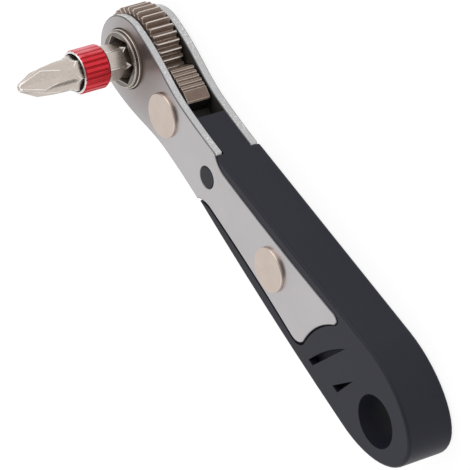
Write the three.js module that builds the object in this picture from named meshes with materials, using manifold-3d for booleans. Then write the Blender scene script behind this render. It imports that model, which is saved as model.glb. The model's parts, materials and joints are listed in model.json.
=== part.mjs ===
// Right-angle ratchet wrench with a reversing pawl, in millimetres, +Z up.
// It lies on its rear side: +X runs from the head to the tail, and the bit points up along +Z.
// The pieces are drawn round the drive axis, with z = 0 halfway between the two plates.

import * as THREE from 'three';
import { mergeVertices } from 'three/addons/utils/BufferGeometryUtils.js';
import Module from 'manifold-3d';

const wasm = await Module();
wasm.setup();

// The whole tool, from the tips of the teeth to the end of the tail. The head is placed from the
// drive axis, and the tail from its end, so a longer tool has a longer grip between the two.
const TOOL_LENGTH = 113.2;

// Side plates
const PLATE_T = 1.75;
const HEAD_EASE = 9;
const NECK_X = 19.5;
const NECK_EASE = 7;
const NECK_HALF = 6.2;
const SHOULDER_X = 31.2;
const SHOULDER_HALF = 6.65;
const SHOULDER_PULL = 0.5;
const SHOULDER_LIFT = 0.3;
const TONGUE_X = 35;
const TONGUE_HALF = 4.9;
const TONGUE_UPPER_FROM_END = 27.7;
const TONGUE_UPPER_HALF = 8.65;
const TONGUE_LOWER_FROM_END = 34.6;
const TONGUE_LOWER_HALF = 6.65;
const TONGUE_WAIST = 0.35;
const TONGUE_END_HOLLOW = 1.15;
const HORN_R = 2.1;

// Moulded handle
const CORE_T = 6.3;
const CORE_X = 22;
const CORE_INSET = 0.1;
const HANDLE_END_Y = 1.3;
const UPPER_BULGE_FROM_END = 19.5;
const UPPER_BULGE = 11.6;
const LOWER_BULGE_FROM_END = 17.5;
const LOWER_BULGE = 9.8;
const LOWER_BELLY = 1.1;
const LOWER_TAIL_DROP = 0.4;
const TAIL_EASE = 9.5;
const TAIL_END_EASE = 6.4;
const HANDLE_EDGE_R = 0.7;
const HANDLE_REAR_PROUD = 0.4;
const HANG_FROM_END = 10.3;
const HANG_R = 5.3;
const PEG_X = 31.6;
const PEG_R = 2.1;
const GROOVE_DEPTH = 1.8;
const LONG_GROOVE = { fromEnd: 30.05, root: -6.45, tipFromEnd: 23.8, tip: 5.45, width: 1.5, arch: 0.9 };
const SHORT_GROOVE = { fromEnd: 22.15, root: -4.8, tipFromEnd: 19, tip: 1.5, width: 1.75, arch: 0 };

// Rivets and the bush under the pawl
const PAWL_X = 15.15;
const HANDLE_RIVET_FROM_END = 48.2;
const RIVET_HEAD_R = 4.5;
const RIVET_HEAD_T = 0.65;
const RIVET_RIM_R = 0.22;
const RIVET_PIN_R = 1.9;
const BUSH_R = 2.7;

// Drive wheel
const TEETH = 36;
const TOOTH_TIP_R = 9.7;
const TOOTH_PAST_HEAD = 1.1;
const TOOTH_DEPTH = 1.15;
const TOOTH_LAND = 0.24;
const TOOTH_CHAMFER = 0.3;
const RIM_SIDE_GAP = 0.45;
const THRUST_R = 7.4;
const JOURNAL_R = 5.95;
const COLLAR_BASE_H = 0.5;
const COLLAR_LIP_R = 5.65;
const COLLAR_LIP_H = 0.7;
const COLLAR_EDGE = 0.16;
const REAR_JOURNAL_H = 0.5;
const SOCKET_FLOOR_Z = -2.9;
const SOCKET_MOUTH_AF = 8.8;
const SOCKET_MOUTH_H = 2.2;
const RING_Z = 0.8;
const RING_W = 0.7;
const RING_T = 0.8;
const RING_GAP = THREE.MathUtils.degToRad(56);

// Reversing pawl
const ROCK = THREE.MathUtils.degToRad(8);
const CLAW_ANGLE = THREE.MathUtils.degToRad(25);
const PAWL_SIDE_GAP = 0.55;
const PAWL_FRONT = 4;
const CLAW_ROOT_HALF = 2.6;
const WING_FRONT = { u: -3.65, v: 7.56 };
const WING_BACK = { u: 1.35, v: 6.38 };
const PAD_BACK = { u: 3.3, v: 5.28 };
const PAWL_BACK = { u: 3.5, v: 4.95 };
const WING_RIBS = 5;
const RIB_DEPTH = 0.32;
const RIB_LAND = 0.5;
const RIB_VALLEY = 0.75;
const TAIL_LENGTH = 6;
const TAIL_HALF = 1.9;
const TAIL_ROOT_HALF = 2.5;

// Detent
const BALL_R = 1.5;
const NOTCH_ARM = 7.25;
const BALL_LIFT = 0.3;
const SPRING_WIRE = 0.4;
const SPRING_R = 1.2;
const SPRING_LENGTH = 7.4;
const SPRING_TURNS = 6.5;
const STEPS_PER_TURN = 8;
const WIRE_SIDES = 5;

// Driver bit and its sleeve
const BIT_AF = 6.35;
const BIT_LENGTH = 32;
const BIT_END_BREAK = 0.5;
const NOTCH_FROM_REAR = 9.6;
const NOTCH_FLOOR = 0.06;
const NOTCH_HALF = 1;
const HEX_END = 12.1;
const BODY_LENGTH = 10.8;
const BODY_R = 3.1;
const CONE_LENGTH = 4.25;
const POINT_R = 0.95;
const POINT_TIP_R = 0.6;
const POINT_BLUNT = 0.25;
const FLUTES = 4;
const FLUTE_TIP_R = 0.5;
const FLUTE_ANGLE = THREE.MathUtils.degToRad(128);
const POINT_TURN = THREE.MathUtils.degToRad(60);
const SLEEVE_ABOVE_FACE = 5.8;
const SLEEVE_LENGTH = 5.9;
const SLEEVE_R = 4.4;
const SLEEVE_RIBS = 24;
const SLEEVE_RIB_H = 0.24;
const SLEEVE_RIB_LAND = 0.55;
const SLEEVE_VALLEY = { from: 0.7, to: 0.85 };
const SLEEVE_RIM_R = 4.08;
const SLEEVE_RIM_H = 0.42;
const SLEEVE_MOUTH = 0.25;

// Clearances
const FIT = 0.08;
const RUN = 0.05;
const MOULD_GAP = 0.35;
const MESH_GAP = 0.1;
const SEAT_GAP = 0.3;

// Cutting tools run this far past the piece, or a hair past a face that they share.
const PAST = 1;
const HAIR = 0.001;

const TAIL_X = TOOL_LENGTH - TOOTH_TIP_R;
const HEAD_R = TOOTH_TIP_R - TOOTH_PAST_HEAD;
const HANDLE_RIVET_X = TAIL_X - HANDLE_RIVET_FROM_END;
const FACE_Z = CORE_T / 2 + PLATE_T;
const BIT_REAR_Z = SOCKET_FLOOR_Z + MESH_GAP;
const HEX_CORNER = 1 / Math.cos(Math.PI / 6);
const BIT_CORNER_R = (BIT_AF / 2) * HEX_CORNER;
const PITCH = (2 * Math.PI) / TEETH;
const BALL_X = PAWL_X + NOTCH_ARM + BALL_LIFT;

// Steps of the curves.
const ROUND = 48;
const FINE_ROUND = 64;
const LONG_CURVE = 14;
const SHORT_CURVE = 6;
const CORNER_CURVE = 4;

const MATERIALS = {
  plate: { color: 0xb9b4b0, roughness: 0.32, metalness: 1 },
  moulding: { color: 0x2c2d31, roughness: 0.48, metalness: 0 },
  sintered: { color: 0x6e6258, roughness: 0.42, metalness: 1 },
  rivet: { color: 0xc9bbac, roughness: 0.3, metalness: 1 },
  steel: { color: 0xb8b8b8, roughness: 0.25, metalness: 1 },
  bit: { color: 0xbdb3a9, roughness: 0.36, metalness: 1 },
  anodised: { color: 0xd2202f, roughness: 0.35, metalness: 0.7 },
};

// A closed geometry as a solid for joining and cutting.
function toSolid(geometry) {
  const bare = geometry.clone();
  bare.deleteAttribute('normal');
  bare.deleteAttribute('uv');
  const merged = mergeVertices(bare, 1e-4);
  const corners = [];
  const index = merged.index.array;
  for (let i = 0; i < index.length; i += 3) {
    const [a, b, c] = [index[i], index[i + 1], index[i + 2]];
    if (a !== b && b !== c && c !== a) corners.push(a, b, c);
  }
  return new wasm.Manifold(new wasm.Mesh({
    numProp: 3,
    vertProperties: Float32Array.from(merged.attributes.position.array),
    triVerts: Uint32Array.from(corners),
  }));
}

function toGeometry(solid) {
  const mesh = solid.getMesh();
  const geometry = new THREE.BufferGeometry();
  geometry.setAttribute('position', new THREE.BufferAttribute(mesh.vertProperties, 3));
  geometry.setIndex(new THREE.BufferAttribute(mesh.triVerts, 1));
  geometry.computeVertexNormals();
  return geometry;
}

const cut = (body, ...tools) => tools.reduce((left, tool) => left.subtract(tool), body);

// The points of a curve without its last one, so that stretches can follow each other.
const along = (curve, steps) => curve.getPoints(steps).slice(0, -1);
const at = (x, y) => new THREE.Vector2(x, y);
const polar = (r, angle) => at(r * Math.cos(angle), r * Math.sin(angle));
// The numbers of so many teeth, ribs or flutes, counted from nought.
const counted = (count) => [...Array(count).keys()];
const bow = (from, over, to) => new THREE.QuadraticBezierCurve(from, over, to);
const sweep = (from, out, into, to) => new THREE.CubicBezierCurve(from, out, into, to);

function roundHole(x, r) {
  return new THREE.Path().absarc(x, 0, r, 0, 2 * Math.PI);
}

// A flat outline drawn up from z0 to z1.
function slab(points, z0, z1, holes = []) {
  const shape = new THREE.Shape(points);
  shape.holes.push(...holes);
  const options = { depth: z1 - z0, bevelEnabled: false, curveSegments: ROUND / 2 };
  return new THREE.ExtrudeGeometry(shape, options).translate(0, 0, z0);
}

// A profile of [radius, height] pairs turned about the Z axis.
function turned(profile, segments = ROUND) {
  const points = profile.map(([r, z]) => at(r, z));
  return new THREE.LatheGeometry(points, segments).rotateX(Math.PI / 2);
}

// A straight or tapered round or polygonal bar along Z.
function bar(r0, r1, z0, z1, sides = ROUND) {
  const geometry = new THREE.CylinderGeometry(r1, r0, z1 - z0, sides);
  return geometry.rotateX(Math.PI / 2).translate(0, 0, (z0 + z1) / 2);
}

const hexBar = (af0, af1, z0, z1) =>
  bar((af0 / 2) * HEX_CORNER, (af1 / 2) * HEX_CORNER, z0, z1, 6);

// The outline of a side plate, grown all round by the given margin.
function plateOutline(grow = 0) {
  const head = HEAD_R + grow;
  const neck = NECK_HALF + grow;
  const shoulder = at(SHOULDER_X + grow, SHOULDER_HALF + grow);
  const root = at(TONGUE_X + grow, TONGUE_HALF + grow);
  const upper = at(TAIL_X - TONGUE_UPPER_FROM_END + grow, TONGUE_UPPER_HALF + grow);
  const lower = at(TAIL_X - TONGUE_LOWER_FROM_END + grow, -TONGUE_LOWER_HALF - grow);
  const fillet = at((shoulder.x + root.x) / 2 - SHOULDER_PULL, root.y + SHOULDER_LIFT);
  const down = (p) => at(p.x, -p.y);

  // One flank from the head over the neck and shoulder to the root of the tongue.
  const flank = [
    ...along(sweep(
      at(0, head),
      at(HEAD_EASE, head),
      at(NECK_X - NECK_EASE, neck),
      at(NECK_X, neck),
    ), LONG_CURVE),
    ...along(bow(at(NECK_X, neck), at((NECK_X + shoulder.x) / 2, neck), shoulder), SHORT_CURVE),
    ...along(bow(shoulder, fillet, root), SHORT_CURVE),
  ];
  const edge = (from, to, side) => {
    const middle = at((from.x + to.x) / 2, (from.y + to.y) / 2 - side * 2 * TONGUE_WAIST);
    return along(bow(from, middle, to), SHORT_CURVE);
  };
  // The tail of the tongue is hollowed between two rounded horns.
  const end = new THREE.Vector2().subVectors(upper, lower);
  const inward = at(-end.y, end.x).normalize().multiplyScalar(2 * TONGUE_END_HOLLOW);
  const step = end.clone().normalize().multiplyScalar(HORN_R);
  const lowStart = at(lower.x - HORN_R, lower.y);
  const highEnd = at(upper.x - HORN_R, upper.y);
  const hollow = end.clone().multiplyScalar(0.5).add(lower).add(inward);
  return [
    ...along(new THREE.EllipseCurve(0, 0, head, head, Math.PI / 2, 1.5 * Math.PI), FINE_ROUND / 2),
    ...flank.map(down),
    ...edge(down(root), lowStart, -1),
    ...along(bow(lowStart, lower, lower.clone().add(step)), CORNER_CURVE),
    ...along(bow(lower.clone().add(step), hollow, upper.clone().sub(step)), LONG_CURVE),
    ...along(bow(upper.clone().sub(step), upper, highEnd), CORNER_CURVE),
    ...edge(highEnd, root, 1),
    root,
    ...flank.slice(1).reverse(),
  ];
}

function plate(z0) {
  const holes = [
    roundHole(0, JOURNAL_R + RUN),
    roundHole(PAWL_X, RIVET_PIN_R + FIT),
    roundHole(PEG_X, PEG_R + FIT),
    roundHole(HANDLE_RIVET_X, RIVET_PIN_R + FIT),
  ];
  return toGeometry(toSolid(slab(plateOutline(), z0, z0 + PLATE_T, holes)));
}

// A claw-shaped groove in a face, arched along one long side and pointed at its tip.
function grooveOutline({ fromEnd, root, tipFromEnd, tip, width, arch }) {
  const x = TAIL_X - fromEnd;
  const start = at(x - width / 2, root);
  const end = at(TAIL_X - tipFromEnd, tip);
  const over = at((start.x + end.x) / 2 - arch, (root + tip) / 2 + arch);
  return [...along(bow(start, over, end), SHORT_CURVE), end, at(x + width / 2, root)];
}

function handle() {
  const shoulder = at(SHOULDER_X, SHOULDER_HALF);
  const lowShoulder = at(SHOULDER_X, -SHOULDER_HALF);
  const upper = at(TAIL_X - UPPER_BULGE_FROM_END, UPPER_BULGE);
  const lower = at(TAIL_X - LOWER_BULGE_FROM_END, -LOWER_BULGE);
  const end = at(TAIL_X, HANDLE_END_Y);
  const slope = (upper.y - shoulder.y) / (upper.x - shoulder.x);
  const belly = at((SHOULDER_X + lower.x) / 2, (lowShoulder.y + lower.y) / 2 - LOWER_BELLY);
  const outline = [
    at(CORE_X, NECK_HALF - CORE_INSET),
    at(CORE_X, CORE_INSET - NECK_HALF),
    ...along(bow(lowShoulder, belly, lower), SHORT_CURVE),
    ...along(sweep(
      lower,
      at(lower.x + TAIL_EASE, lower.y - LOWER_TAIL_DROP),
      at(end.x, end.y - TAIL_END_EASE),
      end,
    ), LONG_CURVE),
    ...along(sweep(
      end,
      at(end.x, end.y + TAIL_END_EASE),
      at(upper.x + TAIL_EASE, upper.y + slope * TAIL_EASE),
      upper,
    ), LONG_CURVE),
    upper,
    shoulder,
  ];
  const rearZ = -FACE_Z - HANDLE_REAR_PROUD;
  const block = new THREE.ExtrudeGeometry(new THREE.Shape(outline), {
    depth: FACE_Z - rearZ - 2 * HANDLE_EDGE_R,
    bevelSize: HANDLE_EDGE_R,
    bevelOffset: -HANDLE_EDGE_R,
    bevelThickness: HANDLE_EDGE_R,
    bevelSegments: CORNER_CURVE,
  }).translate(0, 0, rearZ + HANDLE_EDGE_R);

  // The plates lie in pockets of both faces, and a moulded peg fills the small hole of each.
  const peg = [roundHole(PEG_X, PEG_R)];
  const pocket = plateOutline(MOULD_GAP);
  const beyond = FACE_Z + PAST;
  const grooves = [LONG_GROOVE, SHORT_GROOVE].map(grooveOutline);
  const bore = bar(BALL_R + FIT, BALL_R + FIT, CORE_X - PAST, springEnd() + SEAT_GAP, ROUND / 2);
  return toGeometry(cut(
    toSolid(block),
    toSolid(slab(pocket, CORE_T / 2, beyond, peg)),
    toSolid(slab(pocket, -FACE_Z, -CORE_T / 2, peg)),
    toSolid(slab(pocket, -beyond, -FACE_Z)),
    toSolid(bar(RIVET_PIN_R + FIT, RIVET_PIN_R + FIT, -beyond, beyond).translate(HANDLE_RIVET_X, 0, 0)),
    toSolid(bar(HANG_R, HANG_R, -beyond, beyond).translate(TAIL_X - HANG_FROM_END, 0, 0)),
    toSolid(bore.rotateY(Math.PI / 2)),
    ...grooves.map((g) => toSolid(slab(g, FACE_Z - GROOVE_DEPTH, beyond))),
    ...grooves.map((g) => toSolid(slab(g, -beyond, rearZ + GROOVE_DEPTH))),
  ));
}

// A rivet with a flat, softly rimmed head on each plate.
function rivet() {
  const top = FACE_Z + RIVET_HEAD_T;
  const ease = RIVET_RIM_R * (1 - Math.SQRT1_2);
  const half = [
    [RIVET_PIN_R, FACE_Z],
    [RIVET_HEAD_R, FACE_Z],
    [RIVET_HEAD_R, top - RIVET_RIM_R],
    [RIVET_HEAD_R - ease, top - ease],
    [RIVET_HEAD_R - RIVET_RIM_R, top],
    [0, top],
  ];
  const mirrored = half.map(([r, z]) => [r, -z]).reverse();
  return toGeometry(toSolid(turned([...mirrored, ...half])));
}

function bush() {
  const tube = bar(BUSH_R, BUSH_R, -CORE_T / 2, CORE_T / 2);
  const bore = bar(RIVET_PIN_R + FIT, RIVET_PIN_R + FIT, -FACE_Z, FACE_Z);
  return toGeometry(cut(toSolid(tube), toSolid(bore)));
}

// The toothed outline: V teeth with a narrow land, one tip on the X axis.
function toothOutline(grow = 0) {
  const tip = TOOTH_TIP_R + grow;
  const root = TOOTH_TIP_R - TOOTH_DEPTH + grow;
  const tipHalf = (TOOTH_LAND / 2 + grow) / tip;
  const rootHalf = PITCH / 2 - (TOOTH_LAND / 2 - grow / 2) / root;
  return counted(TEETH).flatMap((tooth) => [
    polar(root, tooth * PITCH - rootHalf),
    polar(tip, tooth * PITCH - tipHalf),
    polar(tip, tooth * PITCH + tipHalf),
    polar(root, tooth * PITCH + rootHalf),
  ]);
}

function wheel() {
  const rimHalf = CORE_T / 2 - RIM_SIDE_GAP;
  const thrust = CORE_T / 2 - RUN;
  const base = FACE_Z + COLLAR_BASE_H;
  const lip = base + COLLAR_LIP_H;
  const rear = -(FACE_Z + REAR_JOURNAL_H);
  const rim = toSolid(slab(toothOutline(), -rimHalf, rimHalf)).intersect(toSolid(turned([
    [0, -rimHalf],
    [TOOTH_TIP_R - TOOTH_CHAMFER, -rimHalf],
    [TOOTH_TIP_R + TOOTH_CHAMFER, 2 * TOOTH_CHAMFER - rimHalf],
    [TOOTH_TIP_R + TOOTH_CHAMFER, rimHalf - 2 * TOOTH_CHAMFER],
    [TOOTH_TIP_R - TOOTH_CHAMFER, rimHalf],
    [0, rimHalf],
  ], TEETH)));
  const hub = toSolid(turned([
    [0, rear],
    [JOURNAL_R - 2 * COLLAR_EDGE, rear],
    [JOURNAL_R, rear + 2 * COLLAR_EDGE],
    [JOURNAL_R, -thrust],
    [THRUST_R, -thrust],
    [THRUST_R, thrust],
    [JOURNAL_R, thrust],
    [JOURNAL_R, base - COLLAR_EDGE / 2],
    [JOURNAL_R - COLLAR_EDGE / 2, base],
    [COLLAR_LIP_R - COLLAR_EDGE / 2, base],
    [COLLAR_LIP_R, base + COLLAR_EDGE / 2],
    [COLLAR_LIP_R, lip - COLLAR_EDGE],
    [COLLAR_LIP_R - COLLAR_EDGE, lip],
    [0, lip],
  ], FINE_ROUND));
  const bore = BIT_AF + 2 * FIT;
  const ringSpace = BIT_CORNER_R + RUN + RING_W + FIT;
  return toGeometry(cut(
    rim.add(hub),
    toSolid(hexBar(bore, bore, SOCKET_FLOOR_Z, lip + PAST)),
    toSolid(hexBar(bore, SOCKET_MOUTH_AF, lip - SOCKET_MOUTH_H, lip + HAIR)),
    toSolid(bar(ringSpace, ringSpace, RING_Z - FIT, RING_Z + RING_T + FIT)),
  ));
}

// A split ring that the shank's corners have spread into its groove.
function retainingRing() {
  const inner = BIT_CORNER_R + RUN;
  const outer = inner + RING_W;
  const from = RING_GAP / 2;
  const to = 2 * Math.PI - RING_GAP / 2;
  const points = [
    ...new THREE.EllipseCurve(0, 0, outer, outer, from, to).getPoints(ROUND),
    ...new THREE.EllipseCurve(0, 0, inner, inner, to, from, true).getPoints(ROUND),
  ];
  return toGeometry(toSolid(slab(points, RING_Z, RING_Z + RING_T)));
}

// A point of the wheel as the pawl sees it from its pivot, before it rocks on to its upper claw.
function seenFromPawl(r, angle) {
  return polar(r, angle).sub(at(PAWL_X, 0)).rotateAround(at(0, 0), -ROCK);
}

// Drawn from its pivot, halfway between its two positions, the same on both sides. The wheel is cut
// out of it at steps of its rocking, so that a claw can leave its gap past the neighbouring teeth.
function pawl() {
  const gap = Math.floor(CLAW_ANGLE / PITCH) * PITCH + PITCH / 2;
  const front = at(WING_FRONT.u, WING_FRONT.v);
  const back = at(WING_BACK.u, WING_BACK.v);
  const run = new THREE.Vector2().subVectors(back, front);
  const inward = at(run.y, -run.x).normalize().multiplyScalar(RIB_DEPTH);
  const onWing = (ribs) => run.clone().multiplyScalar(ribs / WING_RIBS).add(front);
  const ribs = counted(WING_RIBS).flatMap((rib) => [
    onWing(rib),
    onWing(rib + RIB_LAND),
    onWing(rib + RIB_VALLEY).add(inward),
  ]);
  const side = [
    at(-PAWL_FRONT, CLAW_ROOT_HALF),
    seenFromPawl(TOOTH_TIP_R + TOOTH_CHAMFER, gap - PITCH / 2),
    seenFromPawl(TOOTH_TIP_R - TOOTH_DEPTH, gap),
    seenFromPawl(TOOTH_TIP_R + MESH_GAP, gap + PITCH / 2),
    ...ribs,
    back,
    at(PAD_BACK.u, PAD_BACK.v),
    at(PAWL_BACK.u, PAWL_BACK.v),
    at(PAWL_BACK.u, TAIL_ROOT_HALF),
    at(TAIL_LENGTH, TAIL_HALF),
  ];
  const outline = [...side, ...side.map((p) => at(p.x, -p.y)).reverse()].reverse();
  const half = CORE_T / 2 - PAWL_SIDE_GAP;
  const wheelAt = (turn) =>
    toSolid(slab(toothOutline(MESH_GAP), -FACE_Z, FACE_Z).translate(-PAWL_X, 0, 0).rotateZ(turn));
  const notch = BALL_R + FIT;
  const notchAt = (turn) =>
    toSolid(bar(notch, notch, -FACE_Z, FACE_Z).translate(NOTCH_ARM, 0, 0).rotateZ(turn));
  return toGeometry(cut(
    toSolid(slab(outline, -half, half)),
    toSolid(bar(BUSH_R + RUN, BUSH_R + RUN, -FACE_Z, FACE_Z)),
    ...[-1, -0.5, 0, 0.5, 1].map((share) => wheelAt(share * ROCK)),
    notchAt(-ROCK),
    notchAt(ROCK),
  ));
}

// Where the spring meets the ball, and where it ends at the bottom of its bore.
function springStart() {
  return BALL_X + Math.sqrt(BALL_R ** 2 - SPRING_R ** 2) + SPRING_WIRE / 2 + SEAT_GAP;
}

function springEnd() {
  return springStart() + SPRING_LENGTH + SPRING_WIRE / 2;
}

function spring() {
  const points = [];
  const steps = SPRING_TURNS * STEPS_PER_TURN;
  for (let i = 0; i <= steps; i += 1) {
    const angle = (2 * Math.PI * i) / STEPS_PER_TURN;
    const x = springStart() + (SPRING_LENGTH * i) / steps;
    points.push(new THREE.Vector3(x, SPRING_R * Math.cos(angle), SPRING_R * Math.sin(angle)));
  }
  let least = Infinity;
  points.forEach((p, i) => points.slice(i + STEPS_PER_TURN / 2).forEach((q) => {
    least = Math.min(least, p.distanceTo(q) - SPRING_WIRE);
  }));
  console.log(`detent_spring: least gap between turns ${least.toFixed(2)} mm`);
  const wire = new THREE.EllipseCurve(0, 0, SPRING_WIRE / 2, SPRING_WIRE / 2).getPoints(WIRE_SIDES);
  const path = new THREE.CatmullRomCurve3(points);
  const options = { steps, extrudePath: path, bevelEnabled: false };
  return toGeometry(toSolid(new THREE.ExtrudeGeometry(new THREE.Shape(wire), options)));
}

function ball() {
  return toGeometry(toSolid(new THREE.SphereGeometry(BALL_R, ROUND / 2, ROUND / 4)));
}

// A cross-point bit: hex shank with notched corners, round body, cone, and flutes between the wings.
function driverBit() {
  const tip = BIT_REAR_Z + BIT_LENGTH;
  const full = BIT_CORNER_R + HAIR;
  const notchZ = BIT_REAR_Z + NOTCH_FROM_REAR;
  const flat = BIT_AF / 2 + NOTCH_FLOOR;
  const blank = toSolid(hexBar(BIT_AF, BIT_AF, BIT_REAR_Z, tip + PAST)).intersect(toSolid(turned([
    [0, BIT_REAR_Z],
    [full - BIT_END_BREAK, BIT_REAR_Z],
    [full, BIT_REAR_Z + BIT_END_BREAK],
    [full, notchZ - NOTCH_HALF],
    [flat, notchZ],
    [full, notchZ + NOTCH_HALF],
    [full, tip - HEX_END],
    [BODY_R, tip - BODY_LENGTH],
    [BODY_R, tip - CONE_LENGTH],
    [POINT_R, tip - POINT_BLUNT],
    [POINT_TIP_R, tip],
    [0, tip],
  ])));
  // A flute is a wide V along a line that leaves the core at the point and runs out of the round body.
  const reach = 2 * BIT_AF;
  const spread = reach * Math.tan(FLUTE_ANGLE / 2);
  const v = [at(0, 0), at(reach, -spread), at(reach, spread)];
  const rise = Math.atan2(BODY_R - FLUTE_TIP_R, BODY_LENGTH);
  const flutes = counted(FLUTES).map((flute) => toSolid(
    slab(v, -BODY_LENGTH - reach, reach)
      .rotateY(-rise)
      .translate(FLUTE_TIP_R, 0, tip)
      .rotateZ(POINT_TURN + (2 * Math.PI * flute) / FLUTES),
  ));
  return toGeometry(cut(blank, ...flutes));
}

function sleeve() {
  const rear = FACE_Z + SLEEVE_ABOVE_FACE;
  const front = rear + SLEEVE_LENGTH;
  const bore = BIT_CORNER_R + FIT;
  const valley = SLEEVE_R - SLEEVE_RIB_H;
  const ribPitch = (2 * Math.PI) / SLEEVE_RIBS;
  const points = counted(SLEEVE_RIBS).flatMap((rib) => [
    polar(SLEEVE_R, rib * ribPitch),
    polar(SLEEVE_R, (rib + SLEEVE_RIB_LAND) * ribPitch),
    polar(valley, (rib + SLEEVE_VALLEY.from) * ribPitch),
    polar(valley, (rib + SLEEVE_VALLEY.to) * ribPitch),
  ]);
  const knurled = toSolid(slab(points, rear, front));
  const rims = toSolid(turned([
    [0, rear],
    [SLEEVE_RIM_R, rear],
    [SLEEVE_R, rear + SLEEVE_RIM_H],
    [SLEEVE_R, front - SLEEVE_RIM_H],
    [SLEEVE_RIM_R, front],
    [0, front],
  ], 2 * ROUND));
  const through = bar(bore, bore, rear - PAST, front + PAST);
  const mouth = bar(bore, bore + SLEEVE_MOUTH, front - 2 * SLEEVE_MOUTH, front + HAIR);
  return toGeometry(cut(knurled.intersect(rims), toSolid(through), toSolid(mouth)));
}

const tool = new THREE.Group();

function place(name, geometry, material, x = 0, turn = 0) {
  const mesh = new THREE.Mesh(geometry, new THREE.MeshStandardMaterial(MATERIALS[material]));
  mesh.name = name;
  mesh.position.x = x;
  mesh.rotation.z = turn;
  tool.add(mesh);
}

place('front_plate', plate(CORE_T / 2), 'plate');
place('rear_plate', plate(-FACE_Z), 'plate');
place('handle', handle(), 'moulding');
place('ratchet_wheel', wheel(), 'sintered');
place('reversing_pawl', pawl(), 'sintered', PAWL_X, ROCK);
place('pawl_bush', bush(), 'steel', PAWL_X);
place('pawl_rivet', rivet(), 'rivet', PAWL_X);
place('handle_rivet', rivet(), 'rivet', HANDLE_RIVET_X);
place('detent_ball', ball(), 'steel', BALL_X);
place('detent_spring', spring(), 'steel');
place('bit_retaining_ring', retainingRing(), 'steel');
place('driver_bit', driverBit(), 'bit');
place('bit_sleeve', sleeve(), 'anodised');

// The origin is the middle of the tool's box, on the plane it lies on.
const box = new THREE.Box3().setFromObject(tool, true);
const middle = box.getCenter(new THREE.Vector3());
tool.position.set(-middle.x, -middle.y, -box.min.z);

const group = new THREE.Group();
group.add(tool);

export default group;
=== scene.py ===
# %% [markdown]
# # A right-angle ratchet wrench
# Two stamped steel plates are riveted over a black moulded handle. Between them run a toothed drive
# wheel and a rocking pawl, and a driver bit with a red sleeve stands in the wheel's hex socket.
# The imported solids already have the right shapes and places, in metres, with the bit along +Z.
# This lesson gives each of them what a solid lacks: broken edges, smooth shading and a real finish.

# %% Load the frame
import json
import math

import bmesh
import bpy
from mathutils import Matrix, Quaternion, Vector

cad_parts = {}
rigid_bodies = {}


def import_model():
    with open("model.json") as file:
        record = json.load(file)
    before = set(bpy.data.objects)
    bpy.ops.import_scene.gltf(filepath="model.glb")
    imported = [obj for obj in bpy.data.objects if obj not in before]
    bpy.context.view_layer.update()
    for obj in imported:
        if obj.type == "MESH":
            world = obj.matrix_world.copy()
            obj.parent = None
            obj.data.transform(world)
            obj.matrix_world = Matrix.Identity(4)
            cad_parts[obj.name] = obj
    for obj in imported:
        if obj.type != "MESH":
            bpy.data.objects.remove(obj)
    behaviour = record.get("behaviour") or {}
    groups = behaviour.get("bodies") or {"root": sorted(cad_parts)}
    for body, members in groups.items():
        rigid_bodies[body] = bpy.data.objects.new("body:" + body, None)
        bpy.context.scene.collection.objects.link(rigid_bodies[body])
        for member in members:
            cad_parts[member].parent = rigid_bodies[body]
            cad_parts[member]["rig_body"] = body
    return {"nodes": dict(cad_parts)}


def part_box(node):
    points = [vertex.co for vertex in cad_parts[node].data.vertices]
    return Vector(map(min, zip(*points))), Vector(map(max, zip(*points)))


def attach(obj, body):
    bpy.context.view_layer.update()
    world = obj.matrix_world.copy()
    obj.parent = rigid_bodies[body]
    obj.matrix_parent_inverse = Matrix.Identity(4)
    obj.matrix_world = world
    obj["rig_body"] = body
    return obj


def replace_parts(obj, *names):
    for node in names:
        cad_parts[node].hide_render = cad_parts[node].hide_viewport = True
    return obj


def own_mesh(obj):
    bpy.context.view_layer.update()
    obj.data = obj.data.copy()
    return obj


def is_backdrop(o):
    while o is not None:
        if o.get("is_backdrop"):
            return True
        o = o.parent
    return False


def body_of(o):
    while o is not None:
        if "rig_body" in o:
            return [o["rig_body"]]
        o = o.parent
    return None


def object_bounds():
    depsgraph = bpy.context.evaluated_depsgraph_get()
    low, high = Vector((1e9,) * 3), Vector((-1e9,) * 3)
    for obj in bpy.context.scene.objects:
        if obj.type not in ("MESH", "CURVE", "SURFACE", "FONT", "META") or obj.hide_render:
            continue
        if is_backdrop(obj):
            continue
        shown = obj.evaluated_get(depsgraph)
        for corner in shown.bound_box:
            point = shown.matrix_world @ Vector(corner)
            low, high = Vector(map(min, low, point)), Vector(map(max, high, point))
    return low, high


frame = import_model()
cad_low, cad_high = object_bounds()
scene = bpy.context.scene
nodes = frame["nodes"]
MM = 0.001
size = (cad_high - cad_low) / MM
print(f"{len(nodes)} solids in a box of {size.x:.1f} x {size.y:.1f} x {size.z:.1f} mm")

# %% [markdown]
# ## The camera
# The picture was taken from far off with a long lens, so parallel edges stay nearly parallel.
# A camera can be placed by hand until it looks right, but here four numbers say where it stands:
# the direction it looks from, its distance, and how far it is rolled. The roll lays the bit to the
# left of the picture. The aim is the point of the front plate's face in the middle of the picture.

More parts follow.
